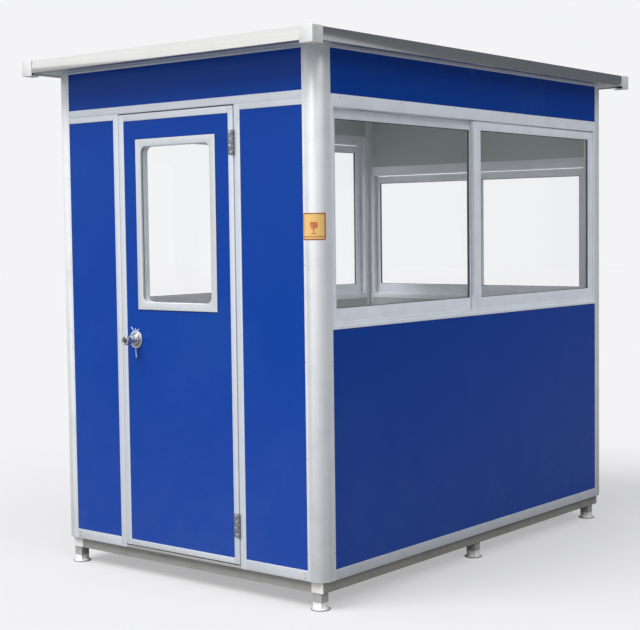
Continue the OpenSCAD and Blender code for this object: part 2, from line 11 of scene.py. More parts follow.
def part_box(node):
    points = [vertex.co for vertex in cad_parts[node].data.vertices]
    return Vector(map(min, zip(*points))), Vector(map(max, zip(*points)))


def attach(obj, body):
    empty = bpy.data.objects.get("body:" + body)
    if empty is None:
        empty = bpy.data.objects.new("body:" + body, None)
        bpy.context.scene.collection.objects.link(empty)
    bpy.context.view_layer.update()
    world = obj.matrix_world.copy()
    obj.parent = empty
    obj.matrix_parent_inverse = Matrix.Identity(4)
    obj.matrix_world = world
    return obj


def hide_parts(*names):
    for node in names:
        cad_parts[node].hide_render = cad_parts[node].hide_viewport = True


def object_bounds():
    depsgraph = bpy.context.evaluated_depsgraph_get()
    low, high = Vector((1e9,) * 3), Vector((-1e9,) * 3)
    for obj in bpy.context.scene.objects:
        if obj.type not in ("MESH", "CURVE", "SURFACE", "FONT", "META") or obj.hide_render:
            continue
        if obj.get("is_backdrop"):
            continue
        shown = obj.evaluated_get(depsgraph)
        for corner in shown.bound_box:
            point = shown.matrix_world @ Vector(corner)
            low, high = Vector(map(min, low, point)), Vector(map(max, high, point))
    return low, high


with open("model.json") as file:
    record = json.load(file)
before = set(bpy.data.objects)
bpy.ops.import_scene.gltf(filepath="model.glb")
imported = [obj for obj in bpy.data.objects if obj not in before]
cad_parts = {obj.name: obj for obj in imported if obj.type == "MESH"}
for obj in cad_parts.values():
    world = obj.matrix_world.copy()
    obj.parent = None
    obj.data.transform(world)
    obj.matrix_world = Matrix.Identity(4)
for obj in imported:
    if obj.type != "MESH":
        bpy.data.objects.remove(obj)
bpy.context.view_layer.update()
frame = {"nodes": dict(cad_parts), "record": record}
SCENE = bpy.context.scene
RECORD = frame["record"]
SLOT_OF = {part["node"]: part["material_slot"] for part in RECORD["subparts"]}
BODY_OF = {n: body for body, nodes in RECORD["behaviour"]["bodies"].items() for n in nodes}

# ---------------------------------------------------------------- places read from the frame
POST_LOW, POST_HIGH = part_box("front_right_post")
ROOF_LOW, ROOF_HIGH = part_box("roof_panel")
FASCIA_LOW, FASCIA_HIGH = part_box("fascia_long_sides")
END_FASCIA_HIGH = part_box("fascia_short_sides")[1]
CORNER_LOW, CORNER_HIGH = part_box("roof_corner_caps")
HEAD_LOW, HEAD_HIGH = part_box("door_head_rail")
JAMB_LOW, JAMB_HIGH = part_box("door_jambs")
DOOR_LOW, DOOR_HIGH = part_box("door_stiles")
TRIM_LOW, TRIM_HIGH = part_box("door_window_trim")
KNOB_LOW, KNOB_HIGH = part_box("door_knobs")
ROSE_LOW, ROSE_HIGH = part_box("lock_roses")
HALF_W = POST_HIGH.x
HALF_L = -POST_LOW.y
POST_LEG = POST_HIGH.x - POST_LOW.x
WALL_TOP = POST_HIGH.z
BASE_TOP = POST_LOW.z
PROFILE_DEPTH = HALF_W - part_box("right_window_frame")[0].x
WALL_OUT = (HALF_L, HALF_W) * 2  # from the middle to the faces of walls 0 to 3
WALL_HALF = (HALF_W, HALF_L) * 2  # half the lengths of walls 0 to 3
WINDOW_WALLS = ((1, "right"), (3, "left"), (2, "rear"))
GLASS_GRIP = 0.008  # how far a pane stands inside its sash
POST_R = 0.05  # radius of a post's outer corner
MM = 0.001


def wall(side):
    """Matrix of wall 0 front, 1 right, 2 rear or 3 left: u along it, depth behind it, z up."""
    turn = Matrix.Rotation(math.radians(90 * side), 4, "Z")
    return turn @ Matrix.Translation((0, -WALL_OUT[side], 0))


def wall_box(side, node):
    """A node's box in a wall's own coordinates."""
    corners = [wall(side).inverted() @ Vector(c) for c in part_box(node)]
    return Vector(map(min, *corners)), Vector(map(max, *corners))


def spot(side, u, depth, z, facing=-1):
    """A fixing's place on a wall and its direction: outwards, or inwards when facing is 1."""
    turn = wall(side)
    return turn @ Vector((u, depth, z)), turn.to_3x3() @ Vector((0, facing, 0))


def laid(place, angle=90):
    """Matrix that turns a shape round X at a place, so that its depth runs up or down."""
    return Matrix.Translation(place) @ Matrix.Rotation(math.radians(angle), 4, "X")


# ---------------------------------------------------------------- mesh helpers
def add_object(name, data):
    obj = bpy.data.objects.new(name, data)
    SCENE.collection.objects.link(obj)
    return obj


def new_piece(name, bm):
    """A mesh object at the origin made from bm, with its place in its mesh."""
    mesh = bpy.data.meshes.new(name)
    bm.to_mesh(mesh)
    bm.free()
    return add_object(name, mesh)


def apply_modifiers(obj):
    """Turns the evaluated object into a plain mesh."""
    graph = bpy.context.evaluated_depsgraph_get()
    mesh = bpy.data.meshes.new_from_object(obj.evaluated_get(graph), depsgraph=graph)
    obj.modifiers.clear()
    obj.data = mesh


def soften(obj, width, segments, angle):
    """Rounds every sharp edge and keeps the faces flat."""
    for polygon in obj.data.polygons:
        polygon.use_smooth = True
    bevel = obj.modifiers.new("edges", "BEVEL")
    bevel.width = width
    bevel.segments = segments
    bevel.limit_method = "ANGLE"
    bevel.angle_limit = math.radians(angle)
    bevel.harden_normals = True
    apply_modifiers(obj)


def make_piece(name, bm, mat, body, edge=None, segments=1, angle=30, replaces=()):
    """A piece from bm in its material and place; edge is its edges' radius in millimetres."""
    obj = new_piece(name, bm)
    if edge:
        soften(obj, edge * MM, segments, angle)
    obj.data.materials.clear()
    obj.data.materials.append(mat)
    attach(obj, body)
    if replaces:
        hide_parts(*replaces)


def merged_copy(node):
    """A bmesh of a node's solids with their flat faces whole."""
    bm = bmesh.new()
    bm.from_mesh(frame["nodes"][node].data)
    bmesh.ops.remove_doubles(bm, verts=bm.verts, dist=1e-6)
    bmesh.ops.dissolve_limit(bm, angle_limit=math.radians(0.5), verts=bm.verts, edges=bm.edges)
    return bm


def solid_boxes(side, node):
    """Boxes of a node's separate solids in a wall's coordinates, in order along the wall."""
    bm = merged_copy(node)
    bm.transform(wall(side).inverted())
    left = set(bm.verts)
    found = []
    while left:
        group = [left.pop()]
        for vert in group:
            for edge in vert.link_edges:
                other = edge.other_vert(vert)
                if other in left:
                    left.remove(other)
                    group.append(other)
        found.append((Vector([min(v.co[i] for v in group) for i in range(3)]),
                      Vector([max(v.co[i] for v in group) for i in range(3)])))
    bm.free()
    return sorted(found, key=lambda box: tuple(box[0]))


def block(bm, corner, opposite):
    """Adds a closed block between two opposite corners."""
    a, b = Vector(corner), Vector(opposite)
    matrix = Matrix.Translation((a + b) / 2) @ Matrix.Diagonal((*map(abs, b - a), 1))
    return bmesh.ops.create_cube(bm, size=1, matrix=matrix)["verts"]


def skin_rows(bm, rows, matrix=None, closed=False, capped=False):
    """Skins loops of verts one after another; closed joins the last to the first.

    capped closes both ends, and a row of a single vert is a pole.
    """
    for low, high in zip(rows, rows[1:] + rows[:1] if closed else rows[1:]):
        count = max(len(low), len(high))
        for i in range(count):
            j = (i + 1) % count
            corners = (low[i % len(low)], low[j % len(low)],
                       high[j % len(high)], high[i % len(high)])
            bm.faces.new(list(dict.fromkeys(corners)))
    if capped:
        bm.faces.new(rows[0])
        bm.faces.new(rows[-1])
    verts = [v for row in rows for v in row]
    if matrix is not None:
        bmesh.ops.transform(bm, matrix=matrix, verts=verts)
    bmesh.ops.recalc_face_normals(bm, faces=list({f for v in verts for f in v.link_faces}))


def loop_ring(bm, outer, inner, d0, d1, matrix=None):
    """Adds a closed ring between two loops of (u, z), from depth d0 in front to d1 behind."""
    rows = [[bm.verts.new((u, depth, z)) for u, z in loop]
            for loop, depth in ((outer, d0), (inner, d0), (inner, d1), (outer, d1))]
    skin_rows(bm, rows, matrix, closed=True)


def rectangle(u0, u1, z0, z1, grow):
    """Corner points of a rectangle made larger on every side."""
    return [(u0 - grow, z0 - grow), (u1 + grow, z0 - grow),
            (u1 + grow, z1 + grow), (u0 - grow, z1 + grow)]


def round_rectangle(u0, u1, z0, z1, grow, radius, steps):
    """Points of a rectangle made larger on every side, with round corners, anticlockwise."""
    near = grow - radius
    points = []
    for u, z, start in ((u1 + near, z1 + near, 0), (u0 - near, z1 + near, 90),
                        (u0 - near, z0 - near, 180), (u1 + near, z0 - near, 270)):
        for i in range(steps + 1):
            angle = math.radians(start + 90 * i / steps)
            points.append((u + radius * math.cos(angle), z + radius * math.sin(angle)))
    return points


def lathe(bm, profile, steps, matrix, closed=False):
    """Adds a turned shape from (radius, reach) points round -Y; closed makes it a ring."""
    turns = [2 * math.pi * i / steps for i in range(steps)]
    rings = []
    for radius, reach in profile:
        angles = turns if radius else turns[:1]
        rings.append([bm.verts.new((radius * math.cos(a), -reach, radius * math.sin(a)))
                      for a in angles])
    skin_rows(bm, rows=rings, matrix=matrix, closed=closed)


# ---------------------------------------------------------------- shared surface effects
def feed(tree, value, socket):
    """Links a socket to another, or sets it to a plain value or colour."""
    if isinstance(value, bpy.types.NodeSocket):
        tree.links.new(value, socket)
    else:
        socket.default_value = (*value, 1) if socket.type == "RGBA" else value


def node_group(name, inputs, outputs):
    """An empty shader node group; inputs and outputs are (name, socket type, default)."""
    tree = bpy.data.node_groups.new(name, "ShaderNodeTree")
    for label, kind, value in inputs:
        socket = tree.interface.new_socket(label, in_out="INPUT", socket_type=kind)
        socket.default_value = value
    for label in outputs:
        tree.interface.new_socket(label, in_out="OUTPUT", socket_type="NodeSocketFloat")
    return tree, tree.nodes.new("NodeGroupInput").outputs, tree.nodes.new("NodeGroupOutput").inputs


def math_node(tree, operation, *values, clamp=False):
    node = tree.nodes.new("ShaderNodeMath")
    node.operation = operation
    node.use_clamp = clamp
    for value, socket in zip(values, node.inputs):
        feed(tree, value, socket)
    return node.outputs[0]


def blend(tree, factor, a, b):
    """Mixes two colours; a and b are sockets or colours."""
    node = tree.nodes.new("ShaderNodeMix")
    node.data_type = "RGBA"
    for value, i in ((factor, 0), (a, 6), (b, 7)):  # the colour sockets of a mix node
        feed(tree, value, node.inputs[i])
    return node.outputs[2]


def smooth_range(tree, value, low, high):
    node = tree.nodes.new("ShaderNodeMapRange")
    node.interpolation_type = "SMOOTHSTEP"
    for label, source in (("Value", value), ("From Min", low), ("From Max", high)):
        feed(tree, source, node.inputs[label])
    return node.outputs["Result"]


def noise(tree, vector, scale, detail=3.0, roughness=0.5):
    node = tree.nodes.new("ShaderNodeTexNoise")
    for label, source in (("Vector", vector), ("Scale", scale), ("Detail", detail),
                          ("Roughness", roughness)):
        feed(tree, source, node.inputs[label])
    return node.outputs["Fac"]


def object_place(tree):
    return tree.nodes.new("ShaderNodeTexCoord").outputs["Object"]


def split_axes(tree, vector=None):
    """X, Y and Z of a vector, or of the object coordinates."""
    node = tree.nodes.new("ShaderNodeSeparateXYZ")
    feed(tree, vector or object_place(tree), node.inputs[0])
    return node.outputs


def make_low_dust():
    """Dust that thins out with height, in soft patches."""
    tree, inner, outer = node_group("low_dust", [("Height", "NodeSocketFloat", 0.4),
                                                 ("Amount", "NodeSocketFloat", 0.3)], ["Mask"])
    place = object_place(tree)
    height = smooth_range(tree, split_axes(tree, place)["Z"], 0.0, inner["Height"])
    near_ground = math_node(tree, "SUBTRACT", 1.0, height)
    patches = math_node(tree, "MULTIPLY_ADD", noise(tree, place, 9.0, 5.0, 0.6), 0.9, 0.15)
    mask = math_node(tree, "MULTIPLY", near_ground, patches)
    feed(tree, math_node(tree, "MULTIPLY", mask, inner["Amount"], clamp=True), outer["Mask"])
    return tree


def make_smudges():
    """Wiped patches and fine specks, as handling and rain leave them."""
    tree, inner, outer = node_group(
        "smudges", [("Scale", "NodeSocketFloat", 5.0), ("Amount", "NodeSocketFloat", 0.3)],
        ["Mask", "Specks"])
    place = object_place(tree)
    patches = smooth_range(tree, noise(tree, place, inner["Scale"], 4.0, 0.6), 0.45, 0.75)
    specks = smooth_range(tree, noise(tree, place, 210.0, 2.0), 0.70, 0.82)
    feed(tree, math_node(tree, "MULTIPLY", patches, inner["Amount"]), outer["Mask"])
    fine = math_node(tree, "MULTIPLY", specks, 0.3)
    feed(tree, math_node(tree, "MULTIPLY", fine, inner["Amount"]), outer["Specks"])
    return tree


def make_drawn_lines():
    """Fine lines that drawing or brushing leaves along a profile."""
    tree, inner, outer = node_group(
        "drawn_lines", [("Stretch", "NodeSocketVector", (300.0, 300.0, 4.0))], ["Lines", "Shade"])
    stretched = tree.nodes.new("ShaderNodeVectorMath")
    stretched.operation = "MULTIPLY"
    feed(tree, object_place(tree), stretched.inputs[0])
    feed(tree, inner["Stretch"], stretched.inputs[1])
    place = stretched.outputs["Vector"]
    feed(tree, noise(tree, place, 1.0, 3.0, 0.6), outer["Lines"])
    feed(tree, smooth_range(tree, noise(tree, place, 0.12, 2.0), 0.3, 0.7), outer["Shade"])
    return tree


def make_skin():
    """Orange peel of a coating over the slow waves of a thin sheet."""
    tree, inner, outer = node_group(
        "skin", [("Peel", "NodeSocketFloat", 1.0), ("Peel Scale", "NodeSocketFloat", 350.0),
                 ("Wave", "NodeSocketFloat", 1.0), ("Wave Scale", "NodeSocketFloat", 2.2)],
        ["Height"])
    place = object_place(tree)
    peel = math_node(tree, "MULTIPLY", noise(tree, place, inner["Peel Scale"], 2.0), inner["Peel"])
    waves = math_node(tree, "MULTIPLY", noise(tree, place, inner["Wave Scale"], 1.0, 0.4),
                      inner["Wave"])
    feed(tree, math_node(tree, "ADD", peel, waves), outer["Height"])
    return tree


def make_inside():
    """1 on faces that look into the cabin, 0 on the outer skin."""
    tree, inner, outer = node_group("inside", [("Half Width", "NodeSocketFloat", 1.0),
                                               ("Half Length", "NodeSocketFloat", 1.0)], ["Mask"])
    axes = split_axes(tree)
    tests = [math_node(tree, "LESS_THAN", math_node(tree, "ABSOLUTE", axes[axis]), inner[label])
             for axis, label in (("X", "Half Width"), ("Y", "Half Length"))]
    feed(tree, math_node(tree, "MULTIPLY", *tests), outer["Mask"])
    return tree


LOW_DUST = make_low_dust()
SMUDGES = make_smudges()
DRAWN_LINES = make_drawn_lines()
SKIN = make_skin()
INSIDE = make_inside()
DUST_COLOR = (0.42, 0.40, 0.36)
LINE_SHADE, LINE_DARK = 0.10, 0.45  # strength and tone of the drawn lines
LINE_GLOSS, SMUDGE_GLOSS, DUST_GLOSS = 0.12, 0.18, 0.3  # what each adds to the roughness
SMUDGE_DARK, LINING_DARK = 0.8, 0.86  # tone of smudges outside and inside the cabin


# ---------------------------------------------------------------- materials
def new_material(name):
    """A node material with its tree and its shader's inputs."""
    mat = bpy.data.materials.new(name)
    mat.use_nodes = True
    return mat, mat.node_tree, mat.node_tree.nodes["Principled BSDF"].inputs


def place_group(tree, group, **values):
    node = tree.nodes.new("ShaderNodeGroup")
    node.node_tree = group
    for label, value in values.items():
        node.inputs[label.replace("_", " ")].default_value = value
    return node.outputs


def tone(color, share):
    return tuple(c * share for c in color)


def coated(name, color, roughness, metallic=0.0, ior=1.45, dust=(0.4, 0.3), smudge=(5.0, 0.3),
           smudge_color=None, lines=None, line_depth=0.0, peel=0.0, peel_scale=350.0,
           wave=0.0, wave_scale=2.2, inner_color=None, below=None):
    """A finish of one base colour with dust low down, smudges, drawn lines and a skin.

    lines is the stretch of the drawn lines; line_depth, peel and wave are in millimetres;
    below is (height, blend, colour, metallic) of whatever lies lower than a height.
    """
    mat, tree, shader = new_material(name)
    shader["Metallic"].default_value = metallic
    shader["IOR"].default_value = ior
    base, rough = color, roughness
    heights = []
    if peel or wave:
        heights.append(place_group(tree, SKIN, Peel=peel * MM, Peel_Scale=peel_scale,
                                   Wave=wave * MM, Wave_Scale=wave_scale)["Height"])
    if below is not None:
        level_z, spread, low_color, low_metallic = below
        over = smooth_range(tree, split_axes(tree)["Z"], level_z - spread, level_z + spread)
        base = blend(tree, over, low_color, base)
        feed(tree, math_node(tree, "MULTIPLY_ADD", over, metallic - low_metallic, low_metallic),
             shader["Metallic"])
    if lines is not None:
        drawn = place_group(tree, DRAWN_LINES, Stretch=lines)
        shade = math_node(tree, "MULTIPLY", drawn["Shade"], LINE_SHADE)
        base = blend(tree, shade, base, tone(color, LINE_DARK))
        rough = math_node(tree, "MULTIPLY_ADD", drawn["Lines"], LINE_GLOSS, rough - LINE_GLOSS / 2)
        heights.append(math_node(tree, "MULTIPLY", drawn["Lines"], line_depth * MM))
    marks = place_group(tree, SMUDGES, Scale=smudge[0], Amount=smudge[1])
    base = blend(tree, marks["Mask"], base, smudge_color or tone(color, SMUDGE_DARK))
    if inner_color is not None:
        inside = place_group(tree, INSIDE, Half_Width=HALF_W - 0.5 * PROFILE_DEPTH,
                             Half_Length=HALF_L - 0.4 * PROFILE_DEPTH)
        lining = blend(tree, marks["Mask"], inner_color, tone(inner_color, LINING_DARK))
        base = blend(tree, inside["Mask"], base, lining)
    base = blend(tree, marks["Specks"], base, DUST_COLOR)
    rough = math_node(tree, "MULTIPLY_ADD", marks["Mask"], SMUDGE_GLOSS, rough)
    low = place_group(tree, LOW_DUST, Height=dust[0], Amount=dust[1])
    feed(tree, blend(tree, low["Mask"], base, DUST_COLOR), shader["Base Color"])
    feed(tree, math_node(tree, "MULTIPLY_ADD", low["Mask"], DUST_GLOSS, rough),
         shader["Roughness"])
    if heights:
        bump = tree.nodes.new("ShaderNodeBump")
        bump.inputs["Distance"].default_value = 1.0
        height = heights[0] if len(heights) == 1 else math_node(tree, "ADD", *heights)
        feed(tree, height, bump.inputs["Height"])
        feed(tree, bump.outputs["Normal"], shader["Normal"])
    return mat


ALUMINIUM = (0.69, 0.72, 0.77)
UPRIGHT = (220.0, 220.0, 3.0)
LEVEL = (3.0, 3.0, 420.0)
EVEN = (90.0, 90.0, 90.0)
CLEAN = (0.1, 0.0)  # no dust
# Faces inside the cabin get a dim grey-green instead of the pale lining sheet: painted shade of the
# unlit cabin.
blue_sheet = coated("blue_sheet", (0.004, 0.050, 0.325), 0.24, ior=1.2, dust=(1.2, 0.06),
                    smudge=(1.5, 0.45), smudge_color=(0.016, 0.074, 0.345), peel=0.010, wave=2.2,
                    inner_color=(0.48, 0.535, 0.53))
post_alu = coated("post_aluminium", (0.84, 0.85, 0.86), 0.32, 0.2, lines=UPRIGHT, line_depth=0.01,
                  smudge=(7.0, 0.30), smudge_color=(0.52, 0.53, 0.52), dust=(0.7, 0.3))
jamb_alu = coated("jamb_aluminium", (0.70, 0.735, 0.79), 0.34, 0.25, lines=UPRIGHT,
                  line_depth=0.01, smudge=(7.0, 0.30), dust=(0.5, 0.3))
rail_alu = coated("rail_aluminium", ALUMINIUM, 0.36, 0.25, lines=LEVEL, line_depth=0.01,
                  smudge=(7.0, 0.25), dust=(0.35, 0.5))
window_alu = coated("window_aluminium", (0.91, 0.945, 1.0), 0.30, 0.04, lines=EVEN,
                    line_depth=0.004, smudge=(9.0, 0.18), dust=(0.3, 0.3))
base_steel = coated("base_paint", (0.32, 0.315, 0.29), 0.5, 0.0, dust=(0.16, 0.55),
                    smudge=(14.0, 0.6), smudge_color=(0.20, 0.195, 0.18), peel=0.05,
                    peel_scale=180.0, wave=0.5, wave_scale=8.0)
# Below 30 mm the feet turn pale with no metal: painted highlight of their flares catching the
# light.
foot_metal = coated("foot_metal", (0.42, 0.41, 0.395), 0.42, 0.2, dust=(0.03, 0.25),
                    smudge=(30.0, 0.5), smudge_color=(0.33, 0.32, 0.31), peel=0.03,
                    peel_scale=220.0, below=(0.030, 0.003, (0.86, 0.84, 0.83), 0.0))
threshold_alu = coated("threshold_aluminium", (0.40, 0.405, 0.40), 0.42, 0.3, lines=LEVEL,
                       line_depth=0.01, smudge=(16.0, 0.6), dust=(0.3, 0.5))
cap_plastic = coated("cap_plastic", (0.93, 0.90, 0.85), 0.42, dust=(0.14, 0.35),
                     smudge=(22.0, 0.2), peel=0.015, peel_scale=500.0)
corner_plastic = coated("corner_plastic", (0.76, 0.755, 0.735), 0.5, dust=CLEAN,
                        smudge=(18.0, 0.3), peel=0.05, peel_scale=260.0)
# Below 2.5 mm above its lowest edge the fascia turns dark grey with no metal: painted shade on the
# underside of its lip.
fascia_metal = coated("fascia_metal", (0.94, 0.93, 0.90), 0.15, 1.0, dust=CLEAN,
                      smudge=(3.0, 0.35), smudge_color=(0.80, 0.79, 0.74), wave=1.6,
                      wave_scale=2.4, lines=LEVEL, line_depth=0.002,
                      below=(FASCIA_LOW.z + 0.0025, 0.0004, (0.22, 0.23, 0.25), 0.0))
roof_sheet = coated("roof_sheet", (0.56, 0.575, 0.58), 0.38, dust=CLEAN, smudge=(1.6, 0.5),
                    smudge_color=(0.44, 0.45, 0.44), peel=0.015, wave=2.0)
trim_plastic = coated("trim_plastic", (0.60, 0.625, 0.65), 0.4, smudge=(12.0, 0.2), peel=0.012,
                      peel_scale=420.0)
hinge_steel = coated("hinge_steel", (0.30, 0.305, 0.33), 0.36, 0.7, lines=UPRIGHT,
                     line_depth=0.01, smudge=(30.0, 0.6), smudge_color=(0.25, 0.25, 0.25))
bright_steel = coated("bright_steel", (0.88, 0.88, 0.90), 0.22, 0.6, smudge=(60.0, 0.3))
bolt_steel = coated("fixing_steel", (0.62, 0.62, 0.63), 0.3, 0.8, smudge=(60.0, 0.5),
                    smudge_color=(0.30, 0.29, 0.28))
polished = coated("polished_steel", (0.60, 0.605, 0.62), 0.2, 0.85, smudge=(40.0, 0.25),
                  smudge_color=(0.55, 0.55, 0.55), dust=CLEAN, wave=0.03, wave_scale=60.0)
dark_steel = coated("dark_steel", (0.16, 0.16, 0.17), 0.3, 0.9, smudge=(60.0, 0.4))
key_dark = coated("keyway_shadow", (0.02, 0.02, 0.022), 0.5, 0.3, smudge=(90.0, 0.4))
rubber = coated("gasket_rubber", (0.035, 0.037, 0.04), 0.62, smudge=(25.0, 0.5),
                smudge_color=(0.09, 0.09, 0.09), peel=0.02, peel_scale=600.0)
gasket_grey = coated("gasket_grey", (0.11, 0.115, 0.12), 0.6, smudge=(25.0, 0.5), peel=0.02,
                     peel_scale=600.0)
pad_plastic = coated("pad_plastic", (0.30, 0.29, 0.29), 0.5, smudge=(40.0, 0.5), peel=0.03,
                     peel_scale=400.0, dust=(0.01, 0.3))
pale_seal = coated("pale_seal", (0.74, 0.76, 0.79), 0.5, smudge=(20.0, 0.5), peel=0.02,
                   peel_scale=500.0)
silicone = coated("silicone", (0.62, 0.63, 0.63), 0.35, smudge=(35.0, 0.4), peel=0.1,
                  peel_scale=120.0)
floor_cover = coated("floor_cover", (0.16, 0.165, 0.17), 0.5, smudge=(6.0, 0.5), dust=(0.5, 0.35),
                     peel=0.05, peel_scale=260.0)
nylon = coated("nylon_tie", (0.62, 0.72, 0.92), 0.4, smudge=(50.0, 0.3), peel=0.01)


def make_glass():
    """Clear float glass; smudges only change its gloss."""
    mat, tree, shader = new_material("clear_glass")
    shader["Transmission Weight"].default_value = 1.0
    shader["IOR"].default_value = 1.24
    marks = place_group(tree, SMUDGES, Scale=3.0, Amount=0.02)
    feed(tree, marks["Mask"], shader["Roughness"])
    tint = blend(tree, marks["Specks"], (0.998, 1.0, 1.0), (0.95, 0.96, 0.96))
    feed(tree, tint, shader["Base Color"])
    return mat


clear_glass = make_glass()

SLOTS = {
    "base_steel": base_steel, "end_cap": cap_plastic, "floor": floor_cover,
    "aluminium_profile": rail_alu, "blue_panel": blue_sheet, "window_profile": window_alu,
    "window_glass": clear_glass, "roof_panel": roof_sheet, "fascia": fascia_metal,
    "corner_cap": corner_plastic, "door_trim": trim_plastic, "steel_fitting": hinge_steel,
    "lock_metal": polished,
}
for name, slot in SLOT_OF.items():
    node = frame["nodes"][name]
    node.data.materials.clear()
    node.data.materials.append(SLOTS[slot])
    if slot == "window_glass":
        node.visible_shadow = False

# ---------------------------------------------------------------- profiles with rounded edges
POSTS = ("front_right_post", "front_left_post", "rear_right_post", "rear_left_post")
EDGE_RADII = {  # in millimetres
    **dict.fromkeys(POSTS, 0.6), "bottom_rails": 1.5, "door_jambs": 1.2, "door_head_rail": 1.5,
    "panel_top_trims": 1.2, "door_threshold": 1.0, "right_window_frame": 1.2,
    "left_window_frame": 1.2, "rear_window_frame": 1.2, "right_window_sashes": 1.6,
    "left_window_sashes": 1.6, "rear_window_sashes": 1.6, "door_stiles": 1.5, "door_rails": 1.5,
    "base_side_beams": 3.0, "base_end_beams": 3.0, "base_cross_beams": 3.0, "feet": 1.2,
    "beam_end_caps": 2.5, "fascia_long_sides": 0.8, "fascia_short_sides": 0.8,
    "roof_corner_caps": 0.5, "door_window_trim": 1.4, "frame_hinge_leaves": 0.5,
    "door_hinge_leaves": 0.5, "roof_panel": 1.0, "floor_panel": 1.0,
}
LARGE_RADIUS = 1.1  # above it an edge gets a third segment
OWN_FINISH = {"feet": foot_metal, "door_threshold": threshold_alu, "door_jambs": jamb_alu,
              "door_stiles": jamb_alu, **dict.fromkeys(POSTS, post_alu)}
for name, radius in EDGE_RADII.items():
    slot = SLOT_OF[name]
    make_piece(name + "_finished", merged_copy(name), OWN_FINISH.get(name, SLOTS[slot]),
               BODY_OF[name], radius, 3 if radius > LARGE_RADIUS else 2, 35, (name,))

# ---------------------------------------------------------------- lock
LOCK = (KNOB_LOW + KNOB_HIGH) / 2
KNOB_R = (KNOB_HIGH.x - KNOB_LOW.x) / 2
ROSE_R = (ROSE_HIGH.x - ROSE_LOW.x) / 2
HALF_SPAN = (KNOB_HIGH.y - KNOB_LOW.y) / 2
ROSE_T = 0.013
SPINDLE_R = 0.008
LEAF_HALF = (ROSE_HIGH.y - ROSE_LOW.y) / 2 - ROSE_T
GRIP = 0.034  # length of a knob past its waist
DOME_R = 0.0155  # where a rose's dome turns into its throat
RIDGE_H = 0.0062  # height of a rose's ridges, and the rise of its dome above them
CORE = HALF_SPAN - 0.0006  # face of the lock cylinder in the outer knob


def lock_side(turned):
    """Matrix from the lock's middle, looking out of the front, or of the rear when turned."""
    return Matrix.Translation(LOCK) @ Matrix.Rotation(math.pi * turned, 4, "Z")


def rose_profile():
    """Section of a rose: flat rim, two ridges, dome and throat, from the panel outwards."""
    outline = [(ROSE_R - inset, reach) for inset, reach in (
        (0.0, 0.0), (0.0, 0.0028), (0.0008, 0.0040), (0.0028, 0.0046), (0.0040, 0.0040),
        (0.0052, 0.0043), (0.0062, 0.0056), (0.0082, RIDGE_H), (0.0094, 0.0058))]
    dome = ROSE_R - 0.0104
    for part in (step / 7 for step in range(8)):
        outline.append((dome - part * (dome - DOME_R),
                        RIDGE_H + RIDGE_H * math.sin(part * math.pi / 2)))
    outline += [(0.0148, ROSE_T - 0.0003), (0.0120, ROSE_T), (0.0098, ROSE_T - 0.0004),
                (SPINDLE_R + 0.0006, ROSE_T - 0.0020), (SPINDLE_R + 0.0006, 0.0)]
    return [(radius, LEAF_HALF + reach) for radius, reach in outline]


def knob_profile():
    """Section of a knob with its neck, waist and dished face."""
    waist = HALF_SPAN - GRIP
    neck = ((0.0, 0.001), (0.006, 0.0012), (0.007, 0.0030), (0.0052, 0.0060), (0.0046, 0.0100))
    points = [(0.0, 0.0), (SPINDLE_R, 0.0)]
    points += [(SPINDLE_R + swell, LEAF_HALF + ROSE_T + reach) for swell, reach in neck]
    points.append((SPINDLE_R + 0.0050, waist - 0.0030))
    for angle in (math.pi / 2 * step / 6 for step in range(7)):  # the shoulder up to the grip
        points.append((KNOB_R - 0.0060 + 0.0054 * math.sin(angle),
                       waist + 0.0070 * (1 - math.cos(angle))))
    points += [(KNOB_R - inset, waist + reach) for inset, reach in (
        (0.0, 0.0090), (0.0008, 0.0100), (0.0008, 0.0125), (0.0, 0.0135))]
    points += [(KNOB_R - inset, HALF_SPAN - below) for inset, below in (
        (0.0, 0.0022), (0.0005, 0.0008), (0.0016, 0.0))]
    points += [(0.0136, HALF_SPAN - 0.0002), (0.0126, HALF_SPAN - 0.0020),
               (0.0, HALF_SPAN - 0.0020)]
    return points


bm = bmesh.new()
for turned in (0, 1):
    lathe(bm, rose_profile(), 96, lock_side(turned), closed=True)
make_piece("lock_roses_turned", bm, polished, "door", 0.2,
           replaces=("lock_roses",))

bm = bmesh.new()  # dark ring let into each rose
ring = [(radius, LEAF_HALF + reach) for radius, reach in (
    (0.0268, 0.0060), (0.0268, 0.0070), (0.0262, 0.0077), (0.0232, 0.0097), (0.0222, 0.0097),
    (0.0222, 0.0060))]
for turned in (0, 1):
    lathe(bm, ring, 72, lock_side(turned), closed=True)
make_piece("rose_rings", bm, dark_steel, "door")

bm = bmesh.new()
for turned in (0, 1):
    lathe(bm, knob_profile(), 72, lock_side(turned))
make_piece("door_knobs_turned", bm, polished, "knobs", 0.25,
           replaces=("door_knobs",))

bm = bmesh.new()
lathe(bm, [(0.0, CORE - 0.004), (0.0112, CORE - 0.004), (0.0112, CORE - 0.0006),
           (0.0106, CORE), (0.0, CORE)], 40, lock_side(0))
make_piece("lock_cylinder", bm, dark_steel, "knobs", 0.2)

bm = bmesh.new()
for half, z0, z1 in ((0.0009, -0.0062, 0.0058), (0.0021, 0.0008, 0.0028)):
    block(bm, (-half, -CORE - 0.00025, z0), (half, -CORE + 0.002, z1))
bm.transform(lock_side(0))
make_piece("keyway", bm, key_dark, "knobs")

bm = bmesh.new()  # turn button on the inner knob
lathe(bm, [(0.0, HALF_SPAN - 0.003), (0.0095, HALF_SPAN - 0.003), (0.0095, HALF_SPAN - 0.0008),
           (0.0086, HALF_SPAN), (0.0, HALF_SPAN)], 32, lock_side(1))
make_piece("turn_button", bm, bolt_steel, "knobs", 0.2)


